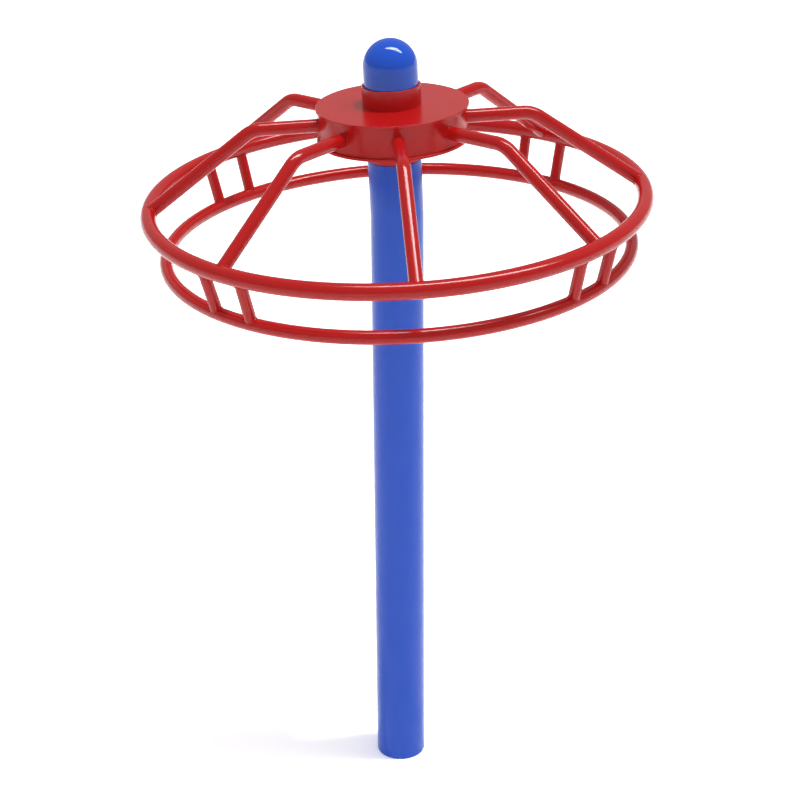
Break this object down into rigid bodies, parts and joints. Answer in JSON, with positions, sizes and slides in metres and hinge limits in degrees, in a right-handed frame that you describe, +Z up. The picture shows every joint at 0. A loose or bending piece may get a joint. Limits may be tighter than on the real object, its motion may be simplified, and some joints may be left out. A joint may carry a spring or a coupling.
{
  "type": "playground spinner",
  "caption": "Hanging spinner for a playground: a leaning wheel of double hand rings on bent spokes turns on a ball-bearing head at the top of a ground-set post.",
  "frame": {"origin": "centre of the post's foot at ground level", "axes": "+Z up along the post, -Y towards the camera of the picture, -X the side that the wheel's axis leans to"},
  "size_m": [1.2082, 1.209, 1.9612],
  "materials": {
    "red_powder_coat": "glossy red powder coat on steel tube and plate",
    "blue_powder_coat": "semi-gloss blue powder coat on steel",
    "machined_steel": "bare turned steel, greased",
    "bearing_steel": "ground bearing steel",
    "cage_steel": "pressed cage with polished balls",
    "zinc_plate": "bright zinc plating",
    "seal_rubber": "black nitrile rubber"
  },
  "bodies": {
    "post": {"post_tube": "blue_powder_coat", "post_top_plate": "machined_steel", "spindle_brace": "machined_steel", "spindle": "machined_steel", "lower_inner_race": "bearing_steel", "upper_inner_race": "bearing_steel", "race_spacer": "machined_steel", "spindle_washer": "zinc_plate", "spindle_nut": "zinc_plate", "split_pin": "zinc_plate"},
    "head": {"bearing_hub": "red_powder_coat", "lower_outer_race": "bearing_steel", "upper_outer_race": "bearing_steel", "shaft_seal": "seal_rubber", "drum_bottom_plate": "red_powder_coat", "drum_top_plate": "red_powder_coat", "drum_wall": "red_powder_coat", "collar": "red_powder_coat", "dome_cap": "blue_powder_coat", "upper_ring": "red_powder_coat", "lower_ring": "red_powder_coat", "spoke_1": "red_powder_coat", "spoke_2": "red_powder_coat", "spoke_3": "red_powder_coat", "spoke_4": "red_powder_coat", "spoke_5": "red_powder_coat", "spoke_6": "red_powder_coat", "spoke_7": "red_powder_coat", "spoke_8": "red_powder_coat", "strut_1": "red_powder_coat", "strut_2": "red_powder_coat", "strut_3": "red_powder_coat", "strut_4": "red_powder_coat", "strut_5": "red_powder_coat", "strut_6": "red_powder_coat", "strut_7": "red_powder_coat", "strut_8": "red_powder_coat"},
    "lower_cage": {"lower_ball_cage": "cage_steel"},
    "upper_cage": {"upper_ball_cage": "cage_steel"}
  },
  "joints": [
    {"name": "head_spin", "type": "hinge", "parent": "post", "child": "head", "pos_m": [0, 0, 1.5375], "axis": [-0.0379, 0, 0.9993], "continuous": true},
    {"name": "lower_cage_spin", "type": "hinge", "parent": "post", "child": "lower_cage", "pos_m": [0, 0, 1.5375], "axis": [-0.0379, 0, 0.9993], "continuous": true},
    {"name": "upper_cage_spin", "type": "hinge", "parent": "post", "child": "upper_cage", "pos_m": [0, 0, 1.5375], "axis": [-0.0379, 0, 0.9993], "continuous": true}
  ],
  "couplings": [
    {"joint": "lower_cage_spin", "follows": "head_spin", "ratio": 0.59338},
    {"joint": "upper_cage_spin", "follows": "head_spin", "ratio": 0.59071}
  ]
}
